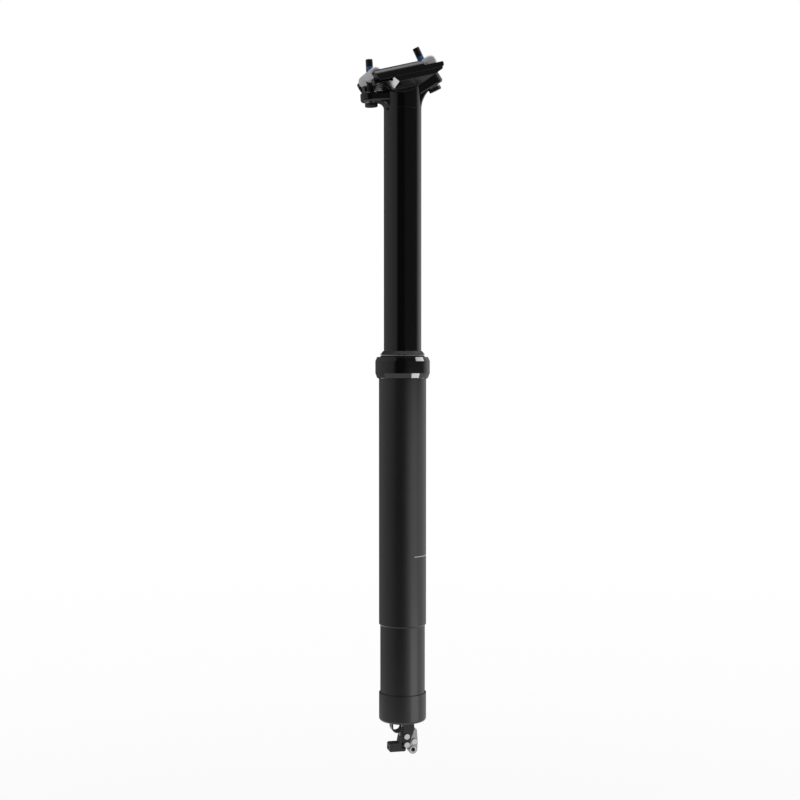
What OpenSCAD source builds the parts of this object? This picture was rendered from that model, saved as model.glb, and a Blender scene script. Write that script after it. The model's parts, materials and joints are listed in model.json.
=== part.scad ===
// Dropper seatpost with a two-bolt head and a cable actuator under its foot.
// Millimetres. +Z runs up the post's axis, +X points to the rear of the bicycle, Y is lateral.
// The origin is on the axis at the shoulder where the collar meets the outer tube.
// The post is drawn fully extended, with its saddle clamp tilted as it is set on a leaning seat tube.

/* [Outer tube] */
// Diameter that fits the frame's seat tube
tube_d = 31.6; // [30.9:0.1:34.9]
// Depth of the relief on the foot, below the full-size length
foot_relief = 0.8; // [0.6:0.05:0.9]
// Length of the relieved foot
foot_len = 45.4; // [30:0.2:60]
// Wall of the tube, outside the bore in which the guide keys and bushings run
tube_wall = 2.1; // [2.0:0.05:2.3]

/* [Collar and seals] */
// How far the collar nut stands out from the tube
collar_proud = 2.4; // [2.2:0.1:4]
// Height of the collar nut
collar_h = 14.4; // [13.8:0.1:18]
// Height of the wiper's lip over the collar
wiper_h = 4.0; // [3.6:0.1:6]

/* [Stanchion] */
// Stroke of the post
travel = 150; // [100:5:200]
// Thickness of the bushings between the tube's bore and the stanchion
bushing_t = 1.2; // [1.1:0.05:1.3]
// Wall of the stanchion
stanchion_wall = 1.9; // [1.7:0.05:2.1]
// Length of stanchion that stays inside the outer tube when it is up
overlap_len = 56; // [52:1:70]
// Stanchion left in view when the post is down
head_clear = 10; // [8:0.5:25]

/* [Head] */
// Width of each bolt ear
ear_w = 14; // [12.6:0.2:16]
// Thickness of the front ear
front_ear_t = 6.3; // [6:0.1:7]
// Thickness of the rear ear
rear_ear_t = 8.1; // [7:0.1:9]
// Slope of the rear ear
rear_ear_slope = 33; // [31:0.5:35]
// Radius of the rocker under the saddle clamp
rocker_r = 16.6; // [16.2:0.1:16.9]

/* [Saddle clamp] */
// Tilt of the clamp on the post, rear side up
clamp_tilt = 14; // [12:0.5:16]
// Diameter of the saddle rails
rail_d = 7.0; // [6.8:0.1:7.2]
// Distance between the two rails
rail_gap = 44; // [43:0.5:46]
// Diameter of the two barrel nuts
nut_d = 8.0; // [7.6:0.1:8.2]
// Thread diameter of the two clamp bolts
bolt_d = 5.0; // [4.8:0.1:5.2]
// Length of the two bolts below their heads
bolt_len = 28.8; // [27:0.2:36]

/* [Cartridge] */
// Diameter of the piston rod
rod_d = 10.0; // [9:0.2:10.2]
// Wall of the cartridge
cartridge_wall = 1.35; // [1.25:0.05:1.5]
// Diameter of the release pin in the rod
pin_d = 1.8; // [1.6:0.1:2.2]

/* [Foot and actuator] */
// Height of the lower cap
cap_h = 18.9; // [17:0.1:24]
// Thickness of the cap's floor
cap_floor = 10.5; // [9.5:0.1:12]
// Outer width of the actuator's bracket
bracket_w = 9.0; // [8.8:0.1:10]
// Diameter of the housing's seat in the cable stop
ferrule_d = 4.2; // [4.1:0.1:4.4]
// Diameter of the cable barrel
barrel_d = 4.5; // [4.2:0.1:4.6]

/* [Hidden] */
$fn = 96;
over = 1;
run_gap = 0.08;
seat_gap = 0.03;

// Outer tube
tube_r = tube_d / 2;
foot_r = tube_r - foot_relief;
bore_r = tube_r - tube_wall;
tube_chamfer = 0.8;
stroke_clear = 13;
tube_len = overlap_len + travel + stroke_clear - foot_len - (cap_h - cap_floor);
cap_low = -tube_len - foot_len - cap_h;
floor_top = cap_low + cap_floor;
tube_end_z = floor_top;
key_count = 3;
key_w = 3.0;
key_len = 12;
key_proud = 0.6;
key_sunk = 0.8;
keyway_top = 14;

// Collar, wiper and what sits under them
mouth_h = 9.6;
mouth_step = 0.8;
mouth_r = tube_r - mouth_step;
collar_r = tube_r + collar_proud;
collar_low = 3.7;
collar_high = 2.7;
collar_foot_in = 2.0;
collar_foot_lip = 1.1;
collar_foot_lip_h = 0.6;
collar_top_in = 1.2;
pocket_step = 0.8;
seal_pocket_r = mouth_r - pocket_step;
foam_h = 2.4;
wiper_flange_h = 0.9;
wiper_flange_over = 0.6;
wiper_flange_r = seal_pocket_r + wiper_flange_over;
clip_h = 0.55;
clip_w = 0.8;
clip_r = seal_pocket_r;
clip_groove_r = clip_r - clip_w;
lip_wall = 0.35;
cone_edge_h = 0.3;
bushing_below = 12;
bushing_above = 8;
wiper_top = collar_h + wiper_h;

// Stanchion and what is on its foot
st_r = bore_r - bushing_t;
st_bore_r = st_r - stanchion_wall;
st_low = -overlap_len;
seam_z = wiper_top + travel + head_clear;
bumper_h = 4;
bumper_wall = 1.0;
key_gap = 2;
key_top = -bushing_below - bumper_h - key_gap;
end_nut_h = 6;
end_nut_clear = 0.6;
low_bush_rise = 2;
key_bush_gap = 6;
low_bush_len = key_top - key_len - key_bush_gap - st_low - low_bush_rise;
bush_groove = 0.3;

// Head: the two ears, the neck and the trough that the rocker turns in
plug_gap = 2.4;
spigot_gap = 2;
spigot_wall_h = 6;
front_hole_x = 21.5;
front_hole_z = 7.35;
front_ear_slope = 4;
rear_hole_x = 19.6;
rear_hole_z = 19.8;
edge_r = 1.6;
ear_bolt_gap = 0.6;
rocker_x = -4.0;
rocker_h = 26.1;
rocker_z = seam_z + rocker_h;
front_mid_z = seam_z + front_hole_z;
rear_mid_z = seam_z + rear_hole_z;

// Saddle clamp, in its own axes: t along the rails to the rear, y lateral, n square to the rails.
// Their origin is on the rocker's axis.
rail_r = rail_d / 2;
rail_y = rail_gap / 2;
rail_n = -5.1;
seat_drop = 2.3;
skirt_drop = 2.2;
skirt_t = 1.5;
web_w = 13.4;
tail_w = 12.9;
wing_y = 27.0;
wing_low = 5.6;
wing_root = 8.7;
cradle_tip = 23.2;
tip_t = 1.1;
tip_back = 0.4;
tail_start = 8.6;
tail_deep = 9.1;
nose_w = 10.8;
nose_back = 6.0;
facet_t = 10.3;
facet_fall = 39.3;
facet_skew = 16.7;
ear_slot_w = 18;
ear_slot_from = 12.5;
ledge_y = 11;
ledge_drop = 3.0;
ledge_edge = 19.4;
pocket_t = 3.0;
crown_t = 1.7;
crown_front = 20.9;
crown_lean = 1.5;
crown_rear = 11.6;
crown_step = 0.8;
crown_bevel = 1.2;
horn_t = 1.3;
horn_end = 24.2;
flange_y = 18.4;
flange_end = 21.6;
flange_h = 2.5;
nut_t = 19.0;
nut_n = -1.1;
nut_half = 18.0;
nut_chamfer = 1.0;
nut_bolt_gap = 0.35;
nut_r = nut_d / 2;

// Bolts and their spherical washers
swing_back = 11;
dish_depth = 1.2;
washer_r = 4.25;
washer_below = 0.75;
bolt_r = bolt_d / 2;
bolt_head_r = 4.25;
bolt_head_h = 2.4;
bolt_socket_w = 4.0;
bolt_socket_deep = 1.6;
bolt_tip_chamfer = 0.5;

// Cartridge
rod_r = rod_d / 2;
cart_gap = 0.25;
cart_r = st_bore_r - cart_gap;
cart_bore_r = cart_r - cartridge_wall;
gland_h = 10;
piston_gap = 2;
piston_h = 10;
piston_nut_h = 4;
piston_nut_gap = 1.2;
piston_nut_w = 2 * (cart_bore_r - piston_nut_gap) * cos(30);
rod_tip_r = 4.0;
float_h = 8;
float_clear = 4;
gas_room = 6;
plug_h = 6;
cart_low = st_low + end_nut_h;
piston_low = cart_low + gland_h + piston_gap;
stack_top = piston_low + piston_h + piston_nut_h;
float_stroke = travel * rod_r * rod_r / (cart_bore_r * cart_bore_r);
float_low = stack_top + travel - float_stroke + float_clear;
cart_top = float_low + float_h + float_stroke + gas_room + plug_h;
poppet_r = 2.2;
poppet_h = 2.0;
pin_gap = 0.1;
pin_r = pin_d / 2;
spigot_len = seam_z - cart_top - plug_gap;

// Lower cap, rod nut and bumper
cap_round = 1.6;
rod_nut_room = 5.0;
rod_nut_h = 4.4;
rod_nut_w = 13;
rod_nut_room_r = 8.0;
bumper_r = 9.5;
bumper_clear = 0.6;

// Actuator. Places are measured from the cap's underside and the post's axis.
plate_h = 1.2;
plate_r = 10.5;
cheek_t = 1.8;
cheek_front = -0.6;
cheek_rear = 7.0;
cheek_taper_z = -5.3;
pivot_x = 1.8;
pivot_z = -10.5;
stop_pin_z = -16.1;
pin_head_r = 1.9;
pin_head_h = 1.0;
pin_shank_r = 1.3;
cheek_foot_r = 2.4;
hook_x = -4.3;
hook_z = -4.3;
hook_r = 3.9;
hook_t = 1.0;
hook_half_w = 3.4;
slot_front = -2.1;
slot_step_z = -7.2;
slot_low_front = -1.6;
leg_top = -8.0;
leg_knee_x = -2.4;
leg_foot_x = -3.3;
stop_x0 = -10.0;
stop_x1 = -1.3;
stop_top = -15.0;
stop_low = -20.8;
stop_half_w = 3.4;
stop_chamfer = 0.8;
tongue_gap = 0.2;
tongue_r = 2.1;
tongue_end = 2.0;
block_end = 1.5;
ferrule_deep = 6.0;
cable_r = 0.8;
screw_inner = 1.0;
lever_plate_t = 0.8;
lever_gap = 0.2;
hub_r = 2.4;
nose_x = 0;
nose_r = 1.4;
button_r = 1.8;
button_h = 1.4;
button_z = -7.0;
rivet_x = 7.5;
rivet_z = -14.6;
rivet_r = 1.6;
thumb_x = 8.3;
thumb_z = -7.3;
thumb_r = 1.1;
barrel_x = 6.6;
barrel_z = -20.0;
barrel_rim = 0.8;
barrel_half = 3.0;
set_screw_r = 1.4;
set_screw_len = 1.9;
set_screw_hex = 1.5;
slot_half = bracket_w / 2 - cheek_t;
lever_half = slot_half - lever_gap;

black = [0.09, 0.09, 0.1];
satin_black = [0.16, 0.16, 0.17];
grey = [0.72, 0.73, 0.74];
steel = [0.8, 0.81, 0.82];
brass = [0.78, 0.62, 0.3];
rubber_black = [0.06, 0.06, 0.06];
bearing_grey = [0.45, 0.46, 0.44];

// A ring about the axis, from z0 up
module ring(r_out, r_in, h, z0) {
    translate([0, 0, z0])
        difference() {
            cylinder(r = r_out, h = h);
            translate([0, 0, -over]) cylinder(r = r_in, h = h + 2 * over);
        }
}

// An outline given as x and z, drawn out sideways over the y range given
module side_plate(y0, y1) {
    translate([0, y1, 0]) rotate([90, 0, 0]) linear_extrude(height = y1 - y0) children();
}

// A hexagonal prism that measures w across its flats
module hexagon(w, h) {
    cylinder(d = w / cos(30), h = h, $fn = 6);
}

// A bar with round ends between two places
module link(x0, z0, x1, z1, r0, r1) {
    span = norm([x1 - x0, z1 - z0]);
    lean = acos((r0 - r1) / span);
    turn = atan2(z1 - z0, x1 - x0);
    translate([x0, z0]) circle(r = r0);
    translate([x1, z1]) circle(r = r1);
    polygon([
        for (side = [1, -1]) [x0 + r0 * cos(turn + side * lean), z0 + r0 * sin(turn + side * lean)],
        for (side = [-1, 1]) [x1 + r1 * cos(turn + side * lean), z1 + r1 * sin(turn + side * lean)]
    ]);
}

// Outer tube: full size above, relieved below, with three keyways in its bore
module outer_tube() {
    color(satin_black)
    difference() {
        rotate_extrude() polygon([
            [0, tube_end_z], [foot_r, tube_end_z], [foot_r, -tube_len],
            [tube_r - tube_chamfer, -tube_len], [tube_r, -tube_len + tube_chamfer],
            [tube_r, 0], [mouth_r, 0], [mouth_r, mouth_h], [0, mouth_h]
        ]);
        translate([0, 0, tube_end_z - over]) cylinder(r = bore_r, h = mouth_h - tube_end_z + 2 * over);
        for (k = [0:key_count - 1]) rotate([0, 0, k * 360 / key_count])
            translate([0, -key_w / 2 - run_gap, tube_end_z - over])
                cube([bore_r + key_proud + run_gap, key_w + 2 * run_gap, -tube_end_z - keyway_top + over]);
    }
}

// Collar nut: threaded on the tube's mouth and holding the seals
module collar_nut() {
    color(black)
    difference() {
        rotate_extrude() polygon([
            [0, 0], [collar_r - collar_foot_in, 0], [collar_r - collar_foot_lip, collar_foot_lip_h],
            [collar_r, collar_low], [collar_r, collar_h - collar_high],
            [collar_r - collar_top_in, collar_h], [0, collar_h]
        ]);
        translate([0, 0, -over]) cylinder(r = mouth_r + seat_gap, h = mouth_h + seat_gap + over);
        cylinder(r = seal_pocket_r, h = collar_h + over);
    }
}

// Wiper seal: a pressed-in body, a flange on the collar and a cone that ends in the lip
module wiper_seal() {
    body_z = mouth_h + seat_gap + foam_h + run_gap;
    groove_z = collar_h + wiper_flange_h;
    cone_z = groove_z + clip_h + run_gap;
    color(rubber_black)
    rotate_extrude() polygon([
        [st_r + run_gap, body_z], [seal_pocket_r - seat_gap, body_z], [seal_pocket_r - seat_gap, collar_h],
        [wiper_flange_r, collar_h], [wiper_flange_r, groove_z], [clip_groove_r, groove_z],
        [clip_groove_r, cone_z], [wiper_flange_r, cone_z], [wiper_flange_r, cone_z + cone_edge_h],
        [st_r + run_gap + lip_wall, wiper_top], [st_r + run_gap, wiper_top]
    ]);
}

// Thin bright ring that closes the wiper on its flange
module wiper_clip() {
    color(grey) ring(clip_r, clip_groove_r + seat_gap, clip_h, collar_h + wiper_flange_h);
}

module foam_ring() {
    color(bearing_grey) ring(seal_pocket_r - seat_gap, st_r + run_gap, foam_h, mouth_h + seat_gap);
}

module upper_bushing() {
    color(bearing_grey)
        ring(bore_r - seat_gap, st_r + run_gap, bushing_below + bushing_above, -bushing_below);
}

// Lower cap: screwed on the tube's foot, with the rod nut's room in its floor
module lower_cap() {
    color(satin_black)
    difference() {
        rotate_extrude() {
            difference() {
                translate([0, cap_low]) square([tube_r, cap_h]);
                translate([tube_r - cap_round, cap_low - over]) square([cap_round + over, cap_round + over]);
            }
            translate([tube_r - cap_round, cap_low + cap_round]) circle(r = cap_round);
        }
        translate([0, 0, floor_top]) cylinder(r = foot_r + seat_gap, h = cap_h);
        translate([0, 0, cap_low - over]) cylinder(r = rod_r + seat_gap, h = cap_h);
        translate([0, 0, cap_low - over]) cylinder(r = rod_nut_room_r, h = rod_nut_room + over);
    }
}

module stanchion() {
    color(black)
    difference() {
        translate([0, 0, st_low]) cylinder(r = st_r, h = seam_z - st_low);
        translate([0, 0, st_low - over]) cylinder(r = st_bore_r, h = seam_z - st_low + 2 * over);
        for (k = [0:key_count - 1]) rotate([0, 0, k * 360 / key_count])
            translate([st_r - key_sunk, -key_w / 2 - seat_gap, key_top - key_len - seat_gap])
                cube([key_sunk + over, key_w + 2 * seat_gap, key_len + 2 * seat_gap]);
        ring(st_r + over, st_r - bush_groove, low_bush_len + 2 * seat_gap,
            st_low + low_bush_rise - seat_gap);
    }
}

module top_out_bumper() {
    color(rubber_black)
        ring(st_r + bumper_wall, st_r + seat_gap, bumper_h, -bushing_below - bumper_h - run_gap);
}

// Three brass keys in the stanchion's pockets, which stop it from turning
module guide_keys() {
    color(brass)
    for (k = [0:key_count - 1]) rotate([0, 0, k * 360 / key_count])
        intersection() {
            translate([st_r - key_sunk + seat_gap, -key_w / 2, key_top - key_len])
                cube([bore_r - st_r + key_sunk + key_proud, key_w, key_len]);
            translate([0, 0, st_low]) cylinder(r = bore_r + key_proud, h = -st_low);
        }
}

module lower_bushing() {
    color(bearing_grey)
        ring(bore_r - run_gap, st_r - bush_groove + seat_gap, low_bush_len, st_low + low_bush_rise);
}

module stanchion_end_nut() {
    color(grey) ring(st_bore_r - seat_gap, rod_r + end_nut_clear, end_nut_h, st_low);
}

module cartridge_tube() {
    color(steel) ring(cart_r, cart_bore_r, cart_top - cart_low, cart_low);
}

module cartridge_gland() {
    color(grey) ring(cart_bore_r - seat_gap, rod_r + run_gap, gland_h, cart_low);
}

// Plug that closes the cartridge and centres it against the head's spigot
module cartridge_plug() {
    color(grey) {
        translate([0, 0, cart_top - plug_h]) cylinder(r = cart_bore_r - seat_gap, h = plug_h);
        translate([0, 0, cart_top])
            cylinder(r = rod_r, h = seam_z - spigot_len + spigot_wall_h - cart_top);
    }
}

module floating_piston() {
    color(grey)
    difference() {
        translate([0, 0, float_low]) cylinder(r = cart_bore_r - run_gap, h = float_h);
        translate([0, 0, float_low + float_h / 2]) cylinder(r = rod_r, h = float_h);
    }
}

module piston() {
    color(grey) ring(cart_bore_r - run_gap, rod_tip_r + seat_gap, piston_h, piston_low);
}

module piston_nut() {
    color(steel)
    translate([0, 0, piston_low + piston_h])
        difference() {
            hexagon(piston_nut_w, piston_nut_h);
            translate([0, 0, -over]) cylinder(r = rod_tip_r + seat_gap, h = piston_nut_h + 2 * over);
        }
}

// Hollow rod from the lower cap to the piston
module piston_rod() {
    rod_low = cap_low + rod_nut_room - rod_nut_h;
    color(steel)
    difference() {
        rotate_extrude() polygon([
            [pin_r + pin_gap, rod_low], [rod_r, rod_low], [rod_r, piston_low],
            [rod_tip_r, piston_low], [rod_tip_r, stack_top], [pin_r + pin_gap, stack_top]
        ]);
    }
}

module rod_nut() {
    color(steel)
    translate([0, 0, cap_low + rod_nut_room - rod_nut_h])
        difference() {
            hexagon(rod_nut_w, rod_nut_h);
            translate([0, 0, -over]) cylinder(r = rod_r + seat_gap, h = rod_nut_h + 2 * over);
        }
}

module bottom_bumper() {
    color(rubber_black) ring(bumper_r, rod_r + seat_gap, stroke_clear - bumper_clear, floor_top);
}

// Long pin in the hollow rod, with the button that the lever pushes
module release_pin() {
    button_low = cap_low + button_z;
    color(steel) {
        translate([0, 0, button_low]) cylinder(r = pin_r, h = stack_top - button_low);
        translate([0, 0, button_low]) cylinder(r = button_r, h = button_h);
    }
}

module valve_poppet() {
    color(brass) translate([0, 0, stack_top]) cylinder(r = poppet_r, h = poppet_h);
}

// Places of the bolts. The front one is index 0 and the rear one index 1.
function turned(p) = [p[0] * cos(clamp_tilt) - p[1] * sin(clamp_tilt),
    p[0] * sin(clamp_tilt) + p[1] * cos(clamp_tilt)];
function nut_at(k) = [rocker_x, rocker_z] + turned([(2 * k - 1) * nut_t, nut_n]);
function ear_at(k) = k == 0 ? [-front_hole_x, front_mid_z] : [rear_hole_x, rear_mid_z];
function bolt_lean(k) = atan2(ear_at(k)[0] - nut_at(k)[0], nut_at(k)[1] - ear_at(k)[1]);
function bolt_up(k) = [-sin(bolt_lean(k)), cos(bolt_lean(k))];
function swing_at(k) = ear_at(k) - swing_back * bolt_up(k);
function dish_r(k) = swing_back - (k == 0 ? front_ear_t : rear_ear_t) / 2 + dish_depth;
function head_top(k) = dish_r(k) - dish_depth - washer_below;

// Sets what it holds on a bolt's line: its z axis runs up the bolt from the swing's centre
module on_bolt(k) {
    translate([swing_at(k)[0], 0, swing_at(k)[1]]) rotate([0, -bolt_lean(k), 0]) children();
}

// The cross-section of a bar with soft edges
module soft_bar(half, deep) {
    square([2 * (half - edge_r), deep], center = true);
    square([2 * half, deep - 2 * edge_r], center = true);
    for (x = [-1, 1], y = [-1, 1]) translate([x * (half - edge_r), y * (deep / 2 - edge_r)]) circle(r = edge_r);
}

// An ear that lies along +X with its hole at the origin, its bar and its round nose with soft edges
module ear(deep, back) {
    half = ear_w / 2;
    translate([-back, 0, 0]) rotate([90, 0, 90]) linear_extrude(height = back) soft_bar(half, deep);
    rotate([0, 0, -90]) rotate_extrude(angle = 180) intersection() {
        soft_bar(half, deep);
        translate([0, -deep]) square([ear_w, 2 * deep]);
    }
}

// A flare round the neck that meets an ear's underside: from the seam up to where the underside is tangent
module flare(slope, under_x, under_z) {
    corner_z = under_z - (under_x - st_r) * tan(slope);
    reach = corner_z - seam_z;
    flare_r = reach / tan((90 - slope) / 2);
    end_x = st_r + reach * cos(slope);
    end_z = corner_z + reach * sin(slope);
    rotate_extrude() difference() {
        polygon([
            [0, seam_z], [st_r, seam_z], [end_x, end_z], [end_x, end_z + edge_r], [0, end_z + edge_r]
        ]);
        translate([st_r + flare_r, seam_z]) circle(r = flare_r);
    }
}

// The head's neck, its two flares and its two ears, before it is cut
module head_body() {
    flare_w = ear_w - edge_r / 2;
    low = -sin(rear_ear_slope) * rear_ear_t / 2;
    high = cos(rear_ear_slope) * rear_ear_t / 2;
    under = [rear_hole_x - low, rear_mid_z - high];
    over_x = rear_hole_x + low;
    front_top = front_mid_z + front_ear_t / 2;
    crest_x = over_x - (rear_mid_z + high - front_top) / tan(rear_ear_slope);
    crest_front = front_top + (front_hole_x + crest_x) * tan(front_ear_slope);
    front_under_z = front_mid_z - cos(front_ear_slope) * front_ear_t / 2;
    front_under_x = front_hole_x - sin(front_ear_slope) * front_ear_t / 2;
    intersection() {
        translate([0, 0, seam_z]) cylinder(r = st_r, h = rear_hole_z + edge_r);
        side_plate(-st_r, st_r) polygon([
            [-st_r, seam_z], [st_r, seam_z],
            [st_r, rear_mid_z + high - (over_x - st_r) * tan(rear_ear_slope)],
            [crest_x, crest_front], [-st_r, front_top + (front_hole_x - st_r) * tan(front_ear_slope)]
        ]);
    }
    intersection() {
        flare(rear_ear_slope, under[0], under[1]);
        translate([0, -flare_w / 2, seam_z]) cube([rear_hole_x, flare_w, under[1] - seam_z]);
        side_plate(-st_r, st_r) polygon([
            [0, seam_z], [rear_hole_x, seam_z], [over_x, rear_mid_z],
            [0, rear_mid_z - over_x * tan(rear_ear_slope)]
        ]);
    }
    mirror([1, 0, 0]) intersection() {
        flare(-front_ear_slope, front_under_x, front_under_z);
        translate([0, -flare_w / 2, seam_z]) cube([front_hole_x, flare_w, front_hole_z]);
    }
    translate([rear_hole_x, 0, rear_mid_z]) rotate([0, -rear_ear_slope, 0])
        ear(rear_ear_t, rear_hole_x / cos(rear_ear_slope) - edge_r);
    translate([-front_hole_x, 0, front_mid_z]) rotate([0, front_ear_slope, 180])
        ear(front_ear_t, front_hole_x);
}

// Forged head: its spigot is bonded in the stanchion
module head() {
    color(satin_black) {
        difference() {
            head_body();
            translate([rocker_x, st_r + over, rocker_z]) rotate([90, 0, 0])
                cylinder(r = rocker_r + run_gap, h = 2 * (st_r + over));
            for (k = [0, 1]) on_bolt(k) {
                cylinder(r = bolt_r + ear_bolt_gap, h = swing_back + ear_w);
                intersection() {
                    sphere(r = dish_r(k));
                    cylinder(r = washer_r + dish_depth, h = dish_r(k) + over);
                }
            }
        }
        difference() {
            translate([0, 0, seam_z - spigot_len]) cylinder(r = st_bore_r - seat_gap, h = spigot_len + over);
            translate([0, 0, seam_z - spigot_len - over])
                cylinder(r = rod_r + spigot_gap, h = spigot_wall_h + over);
        }
    }
}

// Sets what it holds on the saddle clamp: x along the rails, z square to them
module on_clamp() {
    translate([rocker_x, 0, rocker_z]) rotate([0, -clamp_tilt, 0]) children();
}

module rail_cut(side) {
    translate([-horn_end - over, side * rail_y, rail_n]) rotate([0, 90, 0])
        cylinder(r = rail_r, h = 2 * (horn_end + over));
}

// Draws what it holds, given as y and n, along the whole clamp
module along_rails() {
    rotate([90, 0, 90]) translate([0, 0, -horn_end]) linear_extrude(height = 2 * horn_end) children();
}

// Side outline of the rocker, up to the height given and with its rear edge between the places given
module rocker_profile(low_rear, top_rear, top) {
    intersection() {
        circle(r = rocker_r);
        polygon([
            [-rocker_r, -rocker_r], [low_rear, -rocker_r], [top_rear, top], [-rocker_r, top]
        ]);
    }
}

// Side outline of the tail that rises to its tip
module tail_profile() {
    top = rail_n - seat_drop;
    polygon([
        [0, top], [0, rail_n - tail_deep], [tail_start, rail_n - tail_deep],
        [cradle_tip - tip_back, top - tip_t], [cradle_tip, top]
    ]);
}

// The cradle's wing under one rail, with a slanting facet under its front corner
module cradle_wing() {
    top = rail_n - seat_drop;
    difference() {
        intersection() {
            union() {
                side_plate(0, wing_y) rocker_profile(tail_start, tail_start + rocker_r, top);
                side_plate(tail_w, wing_y) tail_profile();
            }
            along_rails() polygon([
                [0, top], [0, -rocker_r], [web_w, -rocker_r], [web_w, rail_n - wing_root],
                [wing_y, rail_n - wing_low], [wing_y, top]
            ]);
        }
        translate([-facet_t, wing_y, top]) rotate([0, 90 + facet_fall, 180 - facet_skew])
            translate([-wing_y, -wing_y, 0]) cube([2 * wing_y, 2 * wing_y, wing_y]);
    }
}

// Lower cradle: a rocker between two rail wings, with a slot behind it for the rear ear and bolt
module lower_cradle() {
    top = rail_n - seat_drop;
    color(black) on_clamp() {
        difference() {
            union() {
                side_plate(-nose_w, nose_w) rocker_profile(tail_start, tail_start + rocker_r, top);
                for (side = [1, -1]) on_side(side) cradle_wing();
            }
            for (side = [1, -1]) rail_cut(side);
            translate([ear_slot_from + ear_slot_w / 2, 0, -rocker_r - over])
                cylinder(d = ear_slot_w, h = 2 * rocker_r);
            translate([ear_slot_from + ear_slot_w / 2, -ear_slot_w / 2, -rocker_r - over])
                cube([cradle_tip, ear_slot_w, 2 * rocker_r]);
            translate([-horn_end, -ledge_edge, rail_n - ledge_drop - seat_gap])
                cube([2 * horn_end, 2 * ledge_edge, pocket_t]);
            translate([-horn_end, -ledge_y, top - pocket_t])
                cube([2 * horn_end, 2 * ledge_y, 2 * pocket_t]);
        }
        side_plate(-nose_w, nose_w) rocker_profile(-nose_back, -nose_back, rail_n);
    }
}

// Upper clamp on the side given: a half-round crown over the rail and an inner flange with the nuts' seats
module upper_clamp(side) {
    low = rail_n - skirt_drop;
    crown_r = rail_r + crown_t;
    crown_top = rail_n + crown_r;
    horn_top = rail_n + horn_t;
    color(black) on_clamp() on_side(side)
    difference() {
        union() {
            intersection() {
                side_plate(flange_y - crown_r, rail_y + crown_r) polygon([
                    [-crown_front + crown_bevel, low], [-crown_front, rail_n],
                    [-crown_front - crown_lean, crown_top - crown_bevel],
                    [-crown_front - crown_lean + crown_bevel, crown_top],
                    [crown_rear - crown_step, crown_top], [crown_rear, horn_top],
                    [horn_end - tip_back, horn_top], [horn_end, horn_top - tip_back],
                    [horn_end, rail_n - tip_t], [horn_end - crown_bevel, low]
                ]);
                along_rails() {
                    intersection() {
                        translate([rail_y, rail_n]) circle(r = crown_r);
                        translate([rail_y - crown_r, rail_n]) square([2 * crown_r, crown_r]);
                    }
                    translate([rail_y + crown_r - skirt_t, low]) square([skirt_t, skirt_drop + seat_gap]);
                }
            }
            side_plate(ledge_y, flange_y) polygon([
                [-flange_end, rail_n - ledge_drop], [-flange_end, rail_n + flange_h],
                [flange_end, rail_n + flange_h], [flange_end, rail_n - ledge_drop]
            ]);
        }
        rail_cut(1);
        for (end = [-1, 1]) translate([end * nut_t, wing_y, nut_n]) rotate([90, 0, 0])
            translate([0, 0, wing_y - nut_half - nut_bolt_gap])
                cylinder(r = nut_r + run_gap, h = 2 * (nut_half + nut_bolt_gap));
    }
}

module upper_clamp_left() {
    upper_clamp(1);
}

module upper_clamp_right() {
    upper_clamp(-1);
}

// Barrel nut k: a cross bar with the bolt's hole through its middle
module barrel_nut(k) {
    color(grey)
    difference() {
        translate([nut_at(k)[0], 0, nut_at(k)[1]]) rotate([90, 0, 0]) rotate_extrude() polygon([
            [0, -nut_half], [nut_r - nut_chamfer, -nut_half], [nut_r, -nut_half + nut_chamfer],
            [nut_r, nut_half - nut_chamfer], [nut_r - nut_chamfer, nut_half], [0, nut_half]
        ]);
        on_bolt(k) cylinder(r = bolt_r + nut_bolt_gap, h = 2 * bolt_len);
    }
}

module front_barrel_nut() {
    barrel_nut(0);
}

module rear_barrel_nut() {
    barrel_nut(1);
}

// Clamp bolt k, with a hexagon socket in its head
module clamp_bolt(k) {
    color(black) on_bolt(k)
    difference() {
        union() {
            translate([0, 0, head_top(k) - bolt_head_h]) cylinder(r = bolt_head_r, h = bolt_head_h);
            rotate_extrude() polygon([
                [0, head_top(k) - bolt_head_h / 2], [bolt_r, head_top(k) - bolt_head_h / 2],
                [bolt_r, head_top(k) + bolt_len - bolt_tip_chamfer],
                [bolt_r - bolt_tip_chamfer, head_top(k) + bolt_len], [0, head_top(k) + bolt_len]
            ]);
        }
        translate([0, 0, head_top(k) - bolt_head_h - over]) hexagon(bolt_socket_w, bolt_socket_deep + over);
    }
}

module front_bolt() {
    clamp_bolt(0);
}

module rear_bolt() {
    clamp_bolt(1);
}

// Spherical washer of bolt k, seated in the dish under its ear
module clamp_washer(k) {
    color(steel) on_bolt(k)
    difference() {
        intersection() {
            sphere(r = dish_r(k) - run_gap);
            translate([0, 0, head_top(k)]) cylinder(r = washer_r, h = dish_r(k));
        }
        cylinder(r = bolt_r + seat_gap, h = swing_back + bolt_len);
    }
}

module front_washer() {
    clamp_washer(0);
}

module rear_washer() {
    clamp_washer(1);
}

// Sets what it holds under the cap
module under_cap() {
    translate([0, 0, cap_low]) children();
}

// A pin along Y through a place under the cap
module cross_pin(x, z, r, y0, y1) {
    translate([x, y1, z]) rotate([90, 0, 0]) cylinder(r = r, h = y1 - y0);
}

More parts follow.
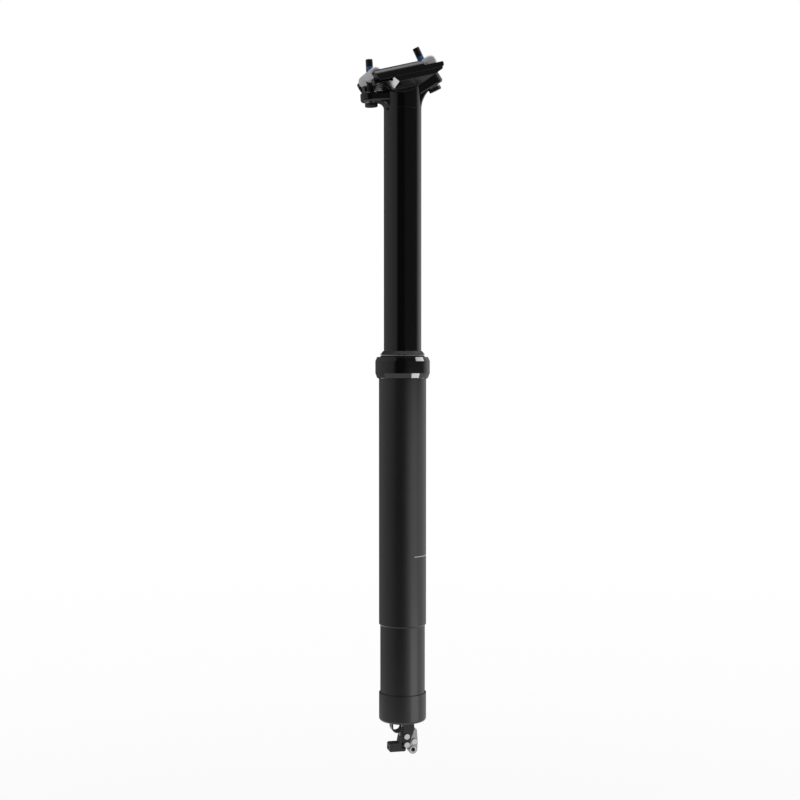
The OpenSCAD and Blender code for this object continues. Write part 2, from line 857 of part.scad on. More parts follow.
// Bracket: a plate under the cap, two cheeks for the lever and a hooked guard in front
module actuator_bracket() {
    half = bracket_w / 2;
    color(satin_black) under_cap()
    difference() {
        union() {
            translate([0, 0, -plate_h]) cylinder(r = plate_r, h = plate_h);
            side_plate(-half, half) {
                polygon([
                    [cheek_front, 0], [cheek_rear, 0], [cheek_rear, cheek_taper_z],
                    [pivot_x + cheek_foot_r + hub_r / 2, pivot_z], [pivot_x + cheek_foot_r, stop_pin_z],
                    [pivot_x - cheek_foot_r, stop_pin_z], [cheek_front, pivot_z]
                ]);
                translate([pivot_x, stop_pin_z]) circle(r = cheek_foot_r);
            }
            side_plate(-hook_half_w, hook_half_w) {
                polygon([
                    [leg_knee_x, slot_step_z], [leg_knee_x, pivot_z], [leg_foot_x, stop_top],
                    [cheek_front, stop_top], [cheek_front + hook_t, pivot_z], [cheek_front + hook_t, leg_top]
                ]);
                polygon([
                    [hook_x + (hook_r - hook_t / 2) * cos(45), hook_z - (hook_r - hook_t / 2) * sin(45)],
                    [cheek_front + hook_t, leg_top], [cheek_front + hook_t, hook_z]
                ]);
                translate([hook_x - hook_r, hook_z]) square([hook_t, -hook_z]);
                intersection() {
                    translate([hook_x, hook_z]) difference() {
                        circle(r = hook_r);
                        circle(r = hook_r - hook_t);
                    }
                    translate([hook_x - hook_r - over, hook_z - hook_r - over])
                        square([cheek_front + hook_t - hook_x + hook_r + over, hook_r + over]);
                }
            }
        }
        translate([slot_front, -slot_half, slot_step_z])
            cube([cheek_rear - slot_front + over, 2 * slot_half, -slot_step_z - plate_h]);
        translate([slot_low_front, -slot_half, stop_low])
            cube([cheek_rear - slot_low_front + over, 2 * slot_half, -stop_low - plate_h - over]);
        translate([0, 0, -plate_h - over]) cylinder(r = pin_r + ear_bolt_gap, h = plate_h + 2 * over);
        cross_pin(pivot_x, pivot_z, pin_shank_r + seat_gap, -half - over, half + over);
        cross_pin(pivot_x, stop_pin_z, pin_shank_r + seat_gap, -half - over, half + over);
    }
}

// Stop for the cable's housing: a block in front and a tongue held between the lever's two plates
module cable_stop() {
    tongue = lever_half - lever_plate_t - tongue_gap;
    mid_z = (stop_top + stop_low) / 2;
    foot_top = stop_pin_z - cheek_foot_r - tongue_gap;
    color(satin_black) under_cap()
    difference() {
        union() {
            side_plate(-stop_half_w, stop_half_w) polygon([
                [stop_x0 + stop_chamfer, stop_top], [stop_x1, stop_top], [stop_x1, stop_low],
                [stop_x0 + stop_chamfer, stop_low], [stop_x0, stop_low + stop_chamfer],
                [stop_x0, stop_top - stop_chamfer]
            ]);
            side_plate(-stop_half_w, stop_half_w) polygon([
                [stop_x1 - over, foot_top], [stop_x1 - over, stop_low], [block_end - stop_chamfer, stop_low],
                [block_end, stop_low + stop_chamfer], [block_end, foot_top]
            ]);
            side_plate(-tongue, tongue) {
                polygon([
                    [stop_x1 - over, stop_top], [stop_x1 - over, stop_low],
                    [tongue_end - stop_chamfer, stop_low], [tongue_end, stop_low + stop_chamfer],
                    [tongue_end, stop_pin_z - tongue_r / 2], [pivot_x, stop_pin_z + tongue_r],
                    [stop_x1, stop_top]
                ]);
                translate([pivot_x, stop_pin_z]) circle(r = tongue_r);
            }
        }
        translate([stop_x0 - over, 0, mid_z]) rotate([0, 90, 0])
            cylinder(d = ferrule_d, h = ferrule_deep + over);
        translate([stop_x0 - over, 0, mid_z]) rotate([0, 90, 0])
            cylinder(r = cable_r, h = pivot_x + cheek_foot_r - stop_x0 + 2 * over);
        for (side = [1, -1]) on_side(side)
            cross_pin(pivot_x, stop_pin_z, pin_shank_r + seat_gap, screw_inner - tongue_gap, tongue + over);
    }
}

// Mirrors what it holds to the side given
module on_side(side) {
    mirror([0, side > 0 ? 0 : 1, 0]) children();
}

// Two short screws that hold the cable stop between the cheeks
module stop_screws() {
    half = bracket_w / 2;
    color(steel) under_cap()
    for (side = [1, -1]) on_side(side)
        difference() {
            union() {
                cross_pin(pivot_x, stop_pin_z, pin_shank_r, screw_inner, half);
                cross_pin(pivot_x, stop_pin_z, pin_head_r, half, half + pin_head_h);
            }
            translate([pivot_x, half + pin_head_h + over, stop_pin_z]) rotate([90, 0, 0])
                hexagon(pin_head_r, pin_head_h);
        }
}

// Release lever: two plates on a hub, with the nose that pushes the pin
module release_lever() {
    nose_z = button_z - run_gap - nose_r;
    color(grey) under_cap()
    difference() {
        union() {
            side_plate(-lever_half, lever_half) {
                translate([pivot_x, pivot_z]) circle(r = hub_r);
                link(nose_x, nose_z, pivot_x, pivot_z, nose_r, hub_r);
            }
            for (side = [1, -1]) on_side(side) side_plate(lever_half - lever_plate_t, lever_half) {
                link(pivot_x, pivot_z, rivet_x, rivet_z, hub_r, rivet_r + barrel_rim);
                link(rivet_x, rivet_z, thumb_x, thumb_z, rivet_r + barrel_rim, thumb_r);
                link(rivet_x, rivet_z, barrel_x, barrel_z, rivet_r + barrel_rim, barrel_d / 2 + barrel_rim);
            }
        }
        cross_pin(pivot_x, pivot_z, pin_shank_r + run_gap, -bracket_w, bracket_w);
        cross_pin(rivet_x, rivet_z, pin_shank_r + seat_gap, -bracket_w, bracket_w);
        cross_pin(barrel_x, barrel_z, barrel_d / 2 + run_gap, -bracket_w, bracket_w);
    }
}

module lever_pivot_pin() {
    half = bracket_w / 2;
    color(steel) under_cap() {
        cross_pin(pivot_x, pivot_z, pin_shank_r, -half - pin_head_h, half + pin_head_h / 2);
        cross_pin(pivot_x, pivot_z, pin_head_r, -half - pin_head_h, -half);
    }
}

// Rivet that holds the lever's two plates together
module lever_rivet() {
    color(steel) under_cap() {
        cross_pin(rivet_x, rivet_z, pin_shank_r, -lever_half - pin_head_h, lever_half + pin_head_h);
        for (side = [1, -1]) on_side(side)
            cross_pin(rivet_x, rivet_z, pin_head_r, lever_half, lever_half + pin_head_h);
    }
}

// Barrel that the cable's end is clamped in, free to swivel in the lever
module cable_barrel() {
    color(steel) under_cap()
    difference() {
        cross_pin(barrel_x, barrel_z, barrel_d / 2, -barrel_half, barrel_half);
        translate([barrel_x - barrel_d, 0, barrel_z]) rotate([0, 90, 0])
            cylinder(r = cable_r, h = 2 * barrel_d);
        cross_pin(barrel_x, barrel_z, set_screw_r + seat_gap, -barrel_half - over, -cable_r);
    }
}

module barrel_set_screw() {
    color(black) under_cap()
    difference() {
        cross_pin(barrel_x, barrel_z, set_screw_r, -barrel_half + tongue_gap,
            -barrel_half + tongue_gap + set_screw_len);
        translate([barrel_x, -barrel_half + tongue_gap + set_screw_len / 2, barrel_z]) rotate([90, 0, 0])
            hexagon(set_screw_hex, set_screw_len);
    }
}

outer_tube();
collar_nut();
wiper_seal();
wiper_clip();
foam_ring();
upper_bushing();
lower_cap();
stanchion();
head();
top_out_bumper();
guide_keys();
lower_bushing();
stanchion_end_nut();
cartridge_tube();
cartridge_gland();
cartridge_plug();
floating_piston();
piston();
piston_nut();
piston_rod();
rod_nut();
bottom_bumper();
release_pin();
valve_poppet();
lower_cradle();
upper_clamp_left();
upper_clamp_right();
front_barrel_nut();
rear_barrel_nut();
front_bolt();
rear_bolt();
front_washer();
rear_washer();
actuator_bracket();
cable_stop();
stop_screws();
release_lever();
lever_pivot_pin();
lever_rivet();
cable_barrel();
barrel_set_screw();
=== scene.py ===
"""Looks for the dropper seatpost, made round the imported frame.

It gives the CAD pieces their finishes, adds the threaded bolts with their locking patches and the
printed insertion line, and sets up the camera and a plain studio.
"""

import json
import math

import bmesh
import bpy
from mathutils import Matrix, Quaternion, Vector


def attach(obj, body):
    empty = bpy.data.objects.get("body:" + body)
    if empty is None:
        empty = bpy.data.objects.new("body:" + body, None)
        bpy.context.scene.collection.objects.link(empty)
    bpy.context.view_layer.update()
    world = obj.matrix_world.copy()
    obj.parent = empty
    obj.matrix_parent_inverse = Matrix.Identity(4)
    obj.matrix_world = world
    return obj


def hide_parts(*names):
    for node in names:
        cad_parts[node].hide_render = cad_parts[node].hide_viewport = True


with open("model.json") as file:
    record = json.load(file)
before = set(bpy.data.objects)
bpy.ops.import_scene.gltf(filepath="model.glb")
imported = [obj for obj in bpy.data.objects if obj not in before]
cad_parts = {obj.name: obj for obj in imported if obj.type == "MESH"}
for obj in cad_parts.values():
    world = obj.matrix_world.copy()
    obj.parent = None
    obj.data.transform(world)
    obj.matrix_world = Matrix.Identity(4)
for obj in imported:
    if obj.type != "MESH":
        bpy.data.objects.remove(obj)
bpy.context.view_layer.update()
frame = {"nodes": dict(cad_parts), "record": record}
NODES = frame["nodes"]
SCENE = bpy.context.scene
MM = 0.001


# Camera: the photograph's view, a little from the front of the bicycle and a little from above.
# Distance and height are in metres and the angles in degrees.
CAMERA_DISTANCE = 1.006
CAMERA_HEIGHT = 0.019
CAMERA_AZIMUTH = 14.0
CAMERA_TURN = 0.097
CAMERA_PITCH = 1.9
CLIP_NEAR, CLIP_FAR = 0.05, 60
FOCAL_PX = 1506.0
FRAME_PX = 800.0
SENSOR_MM = 36.0


def make_camera():
    data = bpy.data.cameras.new("camera")
    data.sensor_width = SENSOR_MM
    data.lens = SENSOR_MM * FOCAL_PX / FRAME_PX
    data.clip_start = CLIP_NEAR
    data.clip_end = CLIP_FAR
    camera = bpy.data.objects.new("camera", data)
    SCENE.collection.objects.link(camera)
    azimuth = math.radians(CAMERA_AZIMUTH)
    camera.location = (
        -CAMERA_DISTANCE * math.sin(azimuth), -CAMERA_DISTANCE * math.cos(azimuth), CAMERA_HEIGHT,
    )
    heading = -math.radians(CAMERA_AZIMUTH - CAMERA_TURN)
    camera.rotation_euler = (math.radians(90 - CAMERA_PITCH), 0, heading)
    SCENE.camera = camera


make_camera()
SCENE.view_settings.view_transform = "Standard"


# Parts of the node trees
def blank_tree(owner):
    """The emptied node tree of a material or world."""
    owner.use_nodes = True
    owner.node_tree.nodes.clear()
    return owner.node_tree


def ramp(tree, source, stops):
    """The source turned into a colour. Each stop is a place from 0 to 1 and its colour."""
    node = tree.nodes.new("ShaderNodeValToRGB")
    elements = node.color_ramp.elements
    while len(elements) < len(stops):
        elements.new(0.5)  # any place will do, because all stops are placed below
    for element, (place, color) in zip(elements, stops):
        element.position = place
        element.color = (*color, 1)
    tree.links.new(source, node.inputs["Fac"])
    return node.outputs["Color"]


def grey_stops(levels):
    return [(place, (level, level, level)) for place, level in levels]


def to_range(tree, source, given, wanted=(0.0, 1.0)):
    """The source carried over from the range given to the one wanted, and held at its ends."""
    node = tree.nodes.new("ShaderNodeMapRange")
    node.inputs["From Min"].default_value, node.inputs["From Max"].default_value = given
    node.inputs["To Min"].default_value, node.inputs["To Max"].default_value = wanted
    tree.links.new(source, node.inputs["Value"])
    return node.outputs["Result"]


def math_node(tree, operation, first, second):
    node = tree.nodes.new("ShaderNodeMath")
    node.operation = operation
    tree.links.new(first, node.inputs[0])
    tree.links.new(second, node.inputs[1])
    return node.outputs[0]


def mix(tree, share, first, second):
    """Two shaders mixed, where the share is that of the second one."""
    node = tree.nodes.new("ShaderNodeMixShader")
    for socket, source in enumerate((share, first, second)):
        tree.links.new(source, node.inputs[socket])
    return node.outputs[0]


def put_out(tree, kind, shader):
    """Ends the tree with the output node of the kind given."""
    out = tree.nodes.new(kind)
    tree.links.new(shader, out.inputs["Surface"])


# Finishes
NOISE_DETAIL = 3.0
NOISE_BAND = (0.3, 0.7)
BROAD_SCALE = 55.0
BUMP_DISTANCE = 0.0001
EDGE_SAMPLES = 6


def noise(tree, scale, stretch=(1, 1, 1)):
    coords = tree.nodes.new("ShaderNodeTexCoord")
    mapping = tree.nodes.new("ShaderNodeMapping")
    mapping.inputs["Scale"].default_value = stretch
    node = tree.nodes.new("ShaderNodeTexNoise")
    node.inputs["Scale"].default_value = scale
    node.inputs["Detail"].default_value = NOISE_DETAIL
    tree.links.new(coords.outputs["Object"], mapping.inputs["Vector"])
    tree.links.new(mapping.outputs["Vector"], node.inputs["Vector"])
    return node.outputs["Fac"]


def bump(tree, shader, source, strength, edge):
    """Fine relief, and edges that look rounded by the radius given, in metres."""
    node = tree.nodes.new("ShaderNodeBump")
    node.inputs["Strength"].default_value = strength
    node.inputs["Distance"].default_value = BUMP_DISTANCE
    tree.links.new(source, node.inputs["Height"])
    tree.links.new(node.outputs["Normal"], shader.inputs["Normal"])
    if edge:
        soft = tree.nodes.new("ShaderNodeBevel")
        soft.samples = EDGE_SAMPLES
        soft.inputs["Radius"].default_value = edge
        tree.links.new(soft.outputs["Normal"], node.inputs["Normal"])


def shade(color, amount):
    return tuple(min(1.0, c * amount) for c in color)


def surface(name, color, metallic, rough, grain=900.0, grain_depth=0.02, spread=0.06,
            stretch=(1, 1, 1), level=0.5, vary=0.06, edge=0.0):
    """A finish with its own grain: its colour varies broadly, its roughness and relief finely."""
    material = bpy.data.materials.new(name)
    material.use_nodes = True
    tree = material.node_tree
    shader = tree.nodes["Principled BSDF"]
    shader.inputs["Metallic"].default_value = metallic
    shader.inputs["Specular IOR Level"].default_value = level
    low, high = NOISE_BAND
    stops = [(low, shade(color, 1 - vary)), (high, shade(color, 1 + vary))]
    tree.links.new(ramp(tree, noise(tree, BROAD_SCALE), stops), shader.inputs["Base Color"])
    fine = noise(tree, grain, stretch)
    varied_rough = to_range(tree, fine, NOISE_BAND, (rough - spread, rough + spread))
    tree.links.new(varied_rough, shader.inputs["Roughness"])
    bump(tree, shader, fine, grain_depth, edge)
    return material


# The first thirteen have the names of the record's material slots, and the others are for single
# pieces.
FINISHES = {
    "tube_black": dict(color=(0.018, 0.018, 0.0185), metallic=0.0, rough=0.22, grain=2600,
                       grain_depth=0.05, spread=0.03, edge=0.0002),
    "gloss_black": dict(color=(0.004, 0.004, 0.0045), metallic=0.0, rough=0.1, grain=500,
                        grain_depth=0.004, spread=0.02, level=0.55, edge=0.00015),
    "forged_black": dict(color=(0.006, 0.006, 0.0065), metallic=0.0, rough=0.2, grain=1400,
                         spread=0.03, level=0.6, edge=0.0004),
    "actuator_black": dict(color=(0.008, 0.008, 0.0085), metallic=0.0, rough=0.24, grain=1400,
                           spread=0.03, edge=0.0003),
    "bare_alloy": dict(color=(0.36, 0.37, 0.385), metallic=1.0, rough=0.3, grain=700,
                       stretch=(1, 6, 1), edge=0.0003),
    "inner_alloy": dict(color=(0.55, 0.56, 0.57), metallic=1.0, rough=0.35),
    "polished_steel": dict(color=(0.6, 0.6, 0.59), metallic=1.0, rough=0.22, grain_depth=0.01,
                           edge=0.0005),
    "inner_steel": dict(color=(0.5, 0.5, 0.5), metallic=1.0, rough=0.3),
    "black_steel": dict(color=(0.02, 0.02, 0.022), metallic=0.3, rough=0.3, grain=1800,
                        grain_depth=0.03, spread=0.04, vary=0.1, edge=0.0002),
    "seal_rubber": dict(color=(0.01, 0.01, 0.01), metallic=0.0, rough=0.5, grain=2200,
                        grain_depth=0.06, level=0.4),
    "foam": dict(color=(0.18, 0.18, 0.18), metallic=0.0, rough=0.9, grain=1500, grain_depth=0.3,
                 vary=0.18),
    "bearing_plastic": dict(color=(0.22, 0.23, 0.22), metallic=0.0, rough=0.5, grain=1500,
                            grain_depth=0.05),
    "key_brass": dict(color=(0.62, 0.44, 0.16), metallic=1.0, rough=0.3, vary=0.08),
    "head_black": dict(color=(0.004, 0.004, 0.0045), metallic=0.0, rough=0.12, grain=700,
                       grain_depth=0.008, spread=0.02, level=0.55, edge=0.00025),
    "nut_alloy": dict(color=(0.62, 0.62, 0.64), metallic=0.3, rough=0.5, grain=1100,
                      grain_depth=0.06, spread=0.08, vary=0.1, edge=0.0004),
    "clip_steel": dict(color=(0.62, 0.62, 0.62), metallic=0.3, rough=0.45, edge=0.0001),
    "thread_patch": dict(color=(0.05, 0.17, 0.4), metallic=0.0, rough=0.5, grain=1800,
                         grain_depth=0.1, spread=0.1, vary=0.2),
    "print_white": dict(color=(0.62, 0.62, 0.62), metallic=0.0, rough=0.55, grain=3000,
                        grain_depth=0.03),
}
MATERIALS = {name: surface(name, **finish) for name, finish in FINISHES.items()}

SLOT_OF = {row["node"]: row["material_slot"] for row in frame["record"]["subparts"]}
OWN_FINISH = {
    "head": "head_black",
    "wiper_clip": "clip_steel",
    "front_barrel_nut": "nut_alloy",
    "rear_barrel_nut": "nut_alloy",
}


def dress(obj, material):
    obj.data.materials.clear()
    obj.data.materials.append(material)


for node, obj in NODES.items():
    dress(obj, MATERIALS[OWN_FINISH.get(node, SLOT_OF[node])])


# Pieces
SMOOTH_ANGLE = 30
THREAD_SMOOTH_ANGLE = 40


def smooth(obj, angle):
    """Smooth shading, with the edges that turn by more than the angle kept sharp."""
    obj.data.set_sharp_from_angle(angle=math.radians(angle))


def make_mesh(name, bm):
    mesh = bpy.data.meshes.new(name)
    bm.to_mesh(mesh)
    bm.free()
    return mesh


def solid_mesh(name, bm, place=Matrix.Identity(4)):
    """The mesh of a closed form, with its faces turned outward, at the place given."""
    bmesh.ops.recalc_face_normals(bm, faces=bm.faces)
    bm.transform(place)
    return make_mesh(name, bm)


def add_object(name, mesh, material):
    obj = bpy.data.objects.new(name, mesh)
    SCENE.collection.objects.link(obj)
    dress(obj, material)
    return obj


def add_piece(name, mesh, body, material):
    obj = add_object(name, mesh, material)
    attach(obj, body)
    return obj


# The printed line, in metres and degrees. Half its thickness lies under the tube's surface.
TUBE_R = 15.8 * MM
LINE_Z = -118.0 * MM
LINE_HALF_W = 0.28 * MM
LINE_THICK = 0.03 * MM
LINE_FROM, LINE_TO = -73.6, 18.0
LINE_STEPS = 96


def insertion_line():
    """The plain printed line that marks how far the post has to go into the seat tube."""
    bm = bmesh.new()
    sections = []
    for i in range(LINE_STEPS + 1):
        angle = math.radians(LINE_FROM + (LINE_TO - LINE_FROM) * i / LINE_STEPS)
        radial = Vector((math.cos(angle), math.sin(angle), 0))
        corners = []
        for out, up in ((0.0, -1), (1.0, -1), (1.0, 1), (0.0, 1)):
            place = radial * (TUBE_R - LINE_THICK / 2 + out * LINE_THICK)
            corners.append(bm.verts.new((place.x, place.y, LINE_Z + up * LINE_HALF_W)))
        sections.append(corners)
    for a, b in zip(sections, sections[1:]):
        for k in range(4):
            bm.faces.new((a[k], b[k], b[(k + 1) % 4], a[(k + 1) % 4]))
    bm.faces.new(sections[0])
    bm.faces.new(list(reversed(sections[-1])))
    mesh = solid_mesh("insertion_line", bm)
    add_piece("insertion_line", mesh, "outer", MATERIALS["print_white"])


insertion_line()


# The two clamp bolts with their threads, in mm and degrees. Each stands on its swing centre, given
# by x and z in the plane of the post, and leans toward the front. The top of its head and the
# middle of its nut are measured up the bolt from that centre.
BOLTS = {
    "front_bolt": {"centre": (-20.938, 174.764), "lean": 2.93, "top": 7.10, "nut": 24.1},
    "rear_bolt": {"centre": (24.506, 188.355), "lean": 26.49, "top": 6.20, "nut": 21.98},
}
BOLT_R = 2.5
BOLT_LEN = 28.8
BOLT_HEAD_R, BOLT_HEAD_H, BOLT_HEAD_EDGE = 4.25, 2.4, 0.35
SOCKET_ACROSS, SOCKET_DEEP = 4.0, 1.6
TIP_CHAMFER = 0.5
THREAD_PITCH, THREAD_DEPTH, THREAD_LEN = 0.8, 0.45, 22.0
# Shares of the way from the middle of the crest to the middle of the root
CREST_SHARE, FLANK_SHARE = 0.15, 0.7
# Steps up each turn of the thread, and sides round it
THREAD_STEPS, THREAD_SIDES = 8, 36
SIDE_ANGLES = [2 * math.pi * j / THREAD_SIDES for j in range(THREAD_SIDES)]
# The patch, measured up from the middle of the nut
PATCH_FROM, PATCH_TO, PATCH_PROUD = 4.1, 6.9, 0.04


def thread_radius(angle, height, tip):
    """Radius of the bolt at an angle and height: the plain shank, then the thread with flats at
    root and crest and flanks between, and a chamfer at the tip."""
    if height < tip - THREAD_LEN:
        return BOLT_R
    turn = (height / THREAD_PITCH - angle / (2 * math.pi)) % 1.0
    flank = min(1.0, max(0.0, (abs(2 * turn - 1) - CREST_SHARE) / FLANK_SHARE))
    return min(BOLT_R - THREAD_DEPTH * flank, BOLT_R - TIP_CHAMFER + (tip - height))


# Each ring of spots is a list of angle, radius and height.
def plain_ring(radius, z):
    return [(angle, radius, z) for angle in SIDE_ANGLES]


def thread_ring(z, tip, proud=0.0):
    return [(angle, thread_radius(angle, z, tip) + proud, z) for angle in SIDE_ANGLES]


def hexagon_ring(z):
    spots = []
    for angle in SIDE_ANGLES:
        inside = (angle + math.pi / 6) % (math.pi / 3) - math.pi / 6
        spots.append((angle, SOCKET_ACROSS / 2 / math.cos(inside), z))
    return spots


def ring(bm, spots):
    return [bm.verts.new((r * math.cos(a), r * math.sin(a), z)) for a, r, z in spots]


def bridge(bm, low, high):
    count = len(low)
    for j in range(count):
        k = (j + 1) % count
        bm.faces.new((low[j], low[k], high[k], high[j]))


def bridge_all(bm, rings):
    for low, high in zip(rings, rings[1:]):
        bridge(bm, low, high)


def thread_heights(low, high):
    count = round((high - low) / THREAD_PITCH * THREAD_STEPS)
    return [low + (high - low) * i / count for i in range(count + 1)]


def bolt_place(row):
    """From a bolt's own mm, along z up from its swing centre, to the frame's metres."""
    x, z = row["centre"]
    lean = Matrix.Rotation(-math.radians(row["lean"]), 4, "Y")
    return Matrix.Scale(MM, 4) @ Matrix.Translation((x, 0, z)) @ lean


def threaded_bolt(node, row):
    top = row["top"]
    tip = top + BOLT_LEN
    low = top - BOLT_HEAD_H
    outline = [
        hexagon_ring(low + SOCKET_DEEP), hexagon_ring(low),
        plain_ring(BOLT_HEAD_R - BOLT_HEAD_EDGE, low),
        plain_ring(BOLT_HEAD_R, low + BOLT_HEAD_EDGE), plain_ring(BOLT_HEAD_R, top),
        plain_ring(BOLT_R, top),
    ]
    outline += [thread_ring(z, tip) for z in thread_heights(top, tip)[1:]]
    bm = bmesh.new()
    rings = [ring(bm, spots) for spots in outline]
    bridge_all(bm, rings)
    bm.faces.new(rings[0])
    bm.faces.new(rings[-1])
    mesh = solid_mesh(node + "_threaded", bm, bolt_place(row))
    obj = add_piece(node + "_threaded", mesh, node, MATERIALS["black_steel"])
    smooth(obj, THREAD_SMOOTH_ANGLE)
    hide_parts(node)


def thread_patch(node, row):
    """The blue locking patch on the threads above the nut."""
    tip = row["top"] + BOLT_LEN
    bm = bmesh.new()
    outer, inner = [], []
    for z in thread_heights(row["nut"] + PATCH_FROM, row["nut"] + PATCH_TO):
        outer.append(ring(bm, thread_ring(z, tip, PATCH_PROUD)))
        inner.append(ring(bm, thread_ring(z, tip, -PATCH_PROUD)))
    bridge_all(bm, outer)
    bridge_all(bm, inner)
    bridge(bm, outer[0], inner[0])
    bridge(bm, outer[-1], inner[-1])
    mesh = solid_mesh(node + "_patch", bm, bolt_place(row))
    add_piece(node + "_patch", mesh, node, MATERIALS["thread_patch"])


for node, row in BOLTS.items():
    threaded_bolt(node, row)
    thread_patch(node, row)

for node, obj in NODES.items():
    if node not in BOLTS:
        smooth(obj, SMOOTH_ANGLE)


# Studio, in metres
CIRCLE_SIDES = 96
FLOOR_Z = -0.45
FLOOR_R = 30.0
FLOOR_GREY = (0.8, 0.8, 0.8, 1)
# The share of white in the floor where it shows, by the distance from its middle as a part of
# FLOOR_REACH. The rest is grey and takes the shadow.
FLOOR_REACH = 6.0
FLOOR_SHARES = [(0.0, 0.8), (0.05, 0.86), (0.2, 0.97), (0.4, 1.0)]
WORLD_WHITE = 1.0
WORLD_LIGHT = 0.45


def seen_rays(tree):
    """1 for rays from the camera, in reflections and through glass, and 0 for all others."""
    paths = tree.nodes.new("ShaderNodeLightPath")
    seen = paths.outputs["Is Camera Ray"]
    for other in ("Is Glossy Ray", "Is Transmission Ray"):
        seen = math_node(tree, "MAXIMUM", seen, paths.outputs[other])
    return seen


def make_floor():
    bm = bmesh.new()
    bmesh.ops.create_circle(
        bm, cap_ends=True, cap_tris=False, segments=CIRCLE_SIDES, radius=FLOOR_R,
    )
    material = bpy.data.materials.new("floor")
    tree = blank_tree(material)
    coords = tree.nodes.new("ShaderNodeTexCoord")
    reach = tree.nodes.new("ShaderNodeVectorMath")
    reach.operation = "LENGTH"
    tree.links.new(coords.outputs["Object"], reach.inputs[0])
    near = to_range(tree, reach.outputs["Value"], (0.0, FLOOR_REACH))
    share = ramp(tree, near, grey_stops(FLOOR_SHARES))
    shown = math_node(tree, "MULTIPLY", share, seen_rays(tree))
    diffuse = tree.nodes.new("ShaderNodeBsdfDiffuse")
    diffuse.inputs["Color"].default_value = FLOOR_GREY
    glow = tree.nodes.new("ShaderNodeEmission")
    shader = mix(tree, shown, diffuse.outputs[0], glow.outputs[0])
    put_out(tree, "ShaderNodeOutputMaterial", shader)
    floor = add_object("floor", make_mesh("floor", bm), material)
    floor.location = (0, 0, FLOOR_Z)


def background(tree, strength):
    node = tree.nodes.new("ShaderNodeBackground")
    node.inputs["Color"].default_value = (1, 1, 1, 1)
    node.inputs["Strength"].default_value = strength
    return node.outputs[0]


def make_world():
    """White to the camera and in reflections, and a plain grey light on everything else."""
    world = bpy.data.worlds.new("studio")
    tree = blank_tree(world)
    plain = background(tree, WORLD_LIGHT)
    white = background(tree, WORLD_WHITE)
    put_out(tree, "ShaderNodeOutputWorld", mix(tree, seen_rays(tree), plain, white))
    SCENE.world = world


# Grey of the surround, by its turn from the camera's side in degrees, positive to the camera's
# right. The lower levels are below the step and the upper ones above it.
UPPER_LEVELS = [
    (-180, 0.05), (-165, 0.08), (-150, 0.15), (-140, 0.22), (-126, 0.33), (-104, 0.45), (-86, 0.5),
    (-70, 0.47), (-56, 0.42), (-43, 0.36), (-37, 0.3), (-30, 0.06), (-24, 0.015), (9, 0.015),
    (14, 0.06), (22, 0.085), (90, 0.08), (98, 0.2), (104, 0.5), (112, 0.7), (135, 0.85),
    (145, 0.6), (155, 0.35), (165, 0.2), (175, 0.08), (180, 0.05),
]
LOWER_LEVELS = [
    (-180, 0.05), (-165, 0.08), (-150, 0.15), (-140, 0.22), (-126, 0.33), (-104, 0.42), (-86, 0.4),
    (-70, 0.34), (-56, 0.25), (-43, 0.15), (-32, 0.04), (-22, 0.0), (0, 0.0), (7, 0.1), (17, 0.28),
    (27, 0.62), (36, 1.0), (96, 1.0), (131, 0.8), (145, 0.6), (155, 0.35), (165, 0.2), (175, 0.08),
    (180, 0.05),
]
SURROUND_R = 0.85
SURROUND_TOP = 1.6
STEP_LOW, STEP_HIGH = -0.03, -0.018


def make_surround():
    """A grey wall round the set that shows only in reflections: pale at both sides, and dark
    behind the camera and behind the object."""
    bm = bmesh.new()
    columns = []
    for i in range(CIRCLE_SIDES):
        angle = 2 * math.pi * i / CIRCLE_SIDES
        x, y = SURROUND_R * math.cos(angle), SURROUND_R * math.sin(angle)
        columns.append([bm.verts.new((x, y, z)) for z in (FLOOR_Z, SURROUND_TOP)])
    for i in range(CIRCLE_SIDES):
        a, b = columns[i - 1], columns[i]
        bm.faces.new((a[0], b[0], b[1], a[1]))
    material = bpy.data.materials.new("surround")
    tree = blank_tree(material)
    coords = tree.nodes.new("ShaderNodeTexCoord")
    split = tree.nodes.new("ShaderNodeSeparateXYZ")
    tree.links.new(coords.outputs["Object"], split.inputs[0])
    turn = math_node(tree, "ARCTAN2", split.outputs["Y"], split.outputs["X"])
    around = to_range(tree, turn, (-math.pi, math.pi))
    above = to_range(tree, split.outputs["Z"], (STEP_LOW, STEP_HIGH))
    glows = []
    for levels in (LOWER_LEVELS, UPPER_LEVELS):
        glow = tree.nodes.new("ShaderNodeEmission")
        stops = grey_stops([((angle + 180) / 360, level) for angle, level in levels])
        tree.links.new(ramp(tree, around, stops), glow.inputs["Color"])
        glows.append(glow.outputs[0])
    put_out(tree, "ShaderNodeOutputMaterial", mix(tree, above, *glows))
    wall = add_object("surround", make_mesh("surround", bm), material)
    wall.rotation_euler = (0, 0, -math.radians(90 + CAMERA_AZIMUTH))
    wall.visible_camera = False
    wall.visible_diffuse = False
    wall.visible_shadow = False
    wall.visible_transmission = False


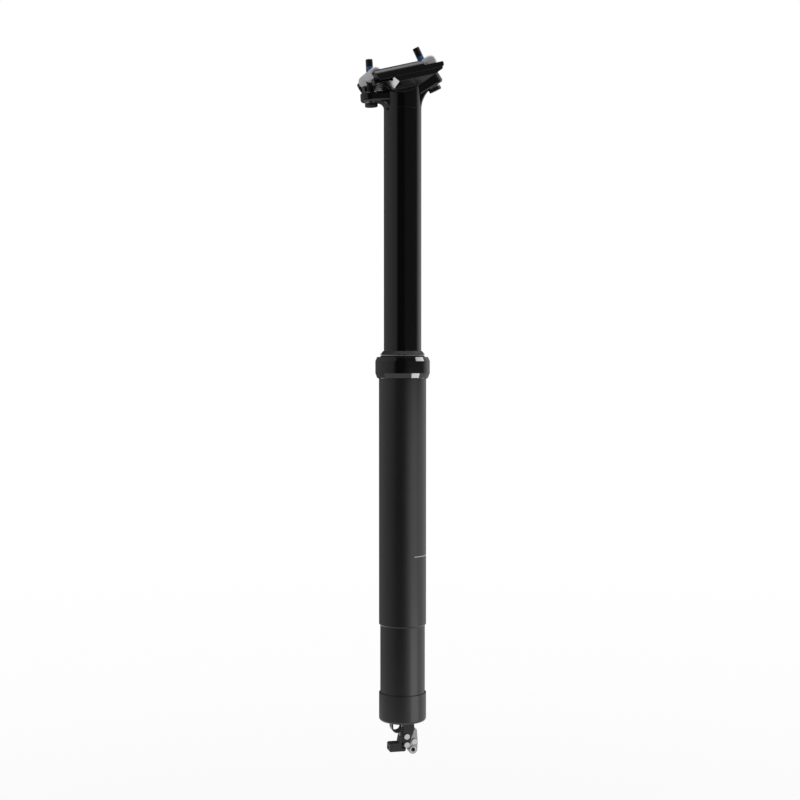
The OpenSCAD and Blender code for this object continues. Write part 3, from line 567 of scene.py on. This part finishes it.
# Lamps. Turn, elevation and roll are in degrees, with turn as in the surround's levels, and power
# is in watts. Those for single nodes make the highlights that the photograph shows on them.
LAMPS = [
    dict(name="low_key", turn=65, elevation=-36, distance=0.7, size=(0.42, 0.11), power=1.7,
         roll=11, only=["collar_nut"]),
    dict(name="high_key", turn=91, elevation=33, distance=0.8, size=(0.54, 0.14), power=2.2,
         roll=-15, only=["collar_nut"]),
    dict(name="under_back", turn=-155, elevation=-34, distance=0.5, size=(0.25, 0.25), power=1.1,
         target=(-0.013, -0.02, 0.197), only=["lower_cradle"]),
    dict(name="tube_side", turn=58, elevation=-15, distance=0.8, size=(0.4, 0.5), power=0.19,
         only=["outer_tube", "lower_cap"]),
    dict(name="foot_side", turn=62, elevation=-30, distance=0.75, size=(0.5, 0.2), power=0.3,
         only=["outer_tube", "lower_cap"]),
    dict(name="top", turn=20, elevation=84, distance=1.8, size=(1.0, 1.0), power=6),
    dict(name="side", turn=100, elevation=40, distance=1.5, size=(0.7, 0.5), power=6),
    dict(name="fill", turn=-110, elevation=25, distance=2.0, size=(1.0, 1.8), power=6),
]


def away(turn, elevation, distance):
    """The way from a lamp's target to the lamp."""
    angle = math.radians(CAMERA_AZIMUTH - turn)
    rise = math.radians(elevation)
    level = math.cos(rise)
    return Vector((-math.sin(angle) * level, -math.cos(angle) * level, math.sin(rise))) * distance


def lamp(name, turn, elevation, distance, size, power, target=(0, 0, 0), roll=0, only=()):
    """An area lamp that faces its target. Where nodes are named, it lights those alone."""
    data = bpy.data.lights.new(name, "AREA")
    data.shape = "RECTANGLE"
    data.size, data.size_y = size
    data.energy = power
    obj = bpy.data.objects.new(name, data)
    SCENE.collection.objects.link(obj)
    obj.location = away(turn, elevation, distance) + Vector(target)
    obj.rotation_mode = "QUATERNION"
    facing = (Vector(target) - obj.location).to_track_quat("-Z", "Y")
    obj.rotation_quaternion = facing @ Quaternion((0, 0, 1), math.radians(roll))
    obj.visible_camera = False
    if only:
        lit = bpy.data.collections.new(name + "_lit")
        for node in only:
            lit.objects.link(NODES[node])
        obj.light_linking.receiver_collection = lit


make_floor()
make_world()
make_surround()
for row in LAMPS:
    lamp(**row)
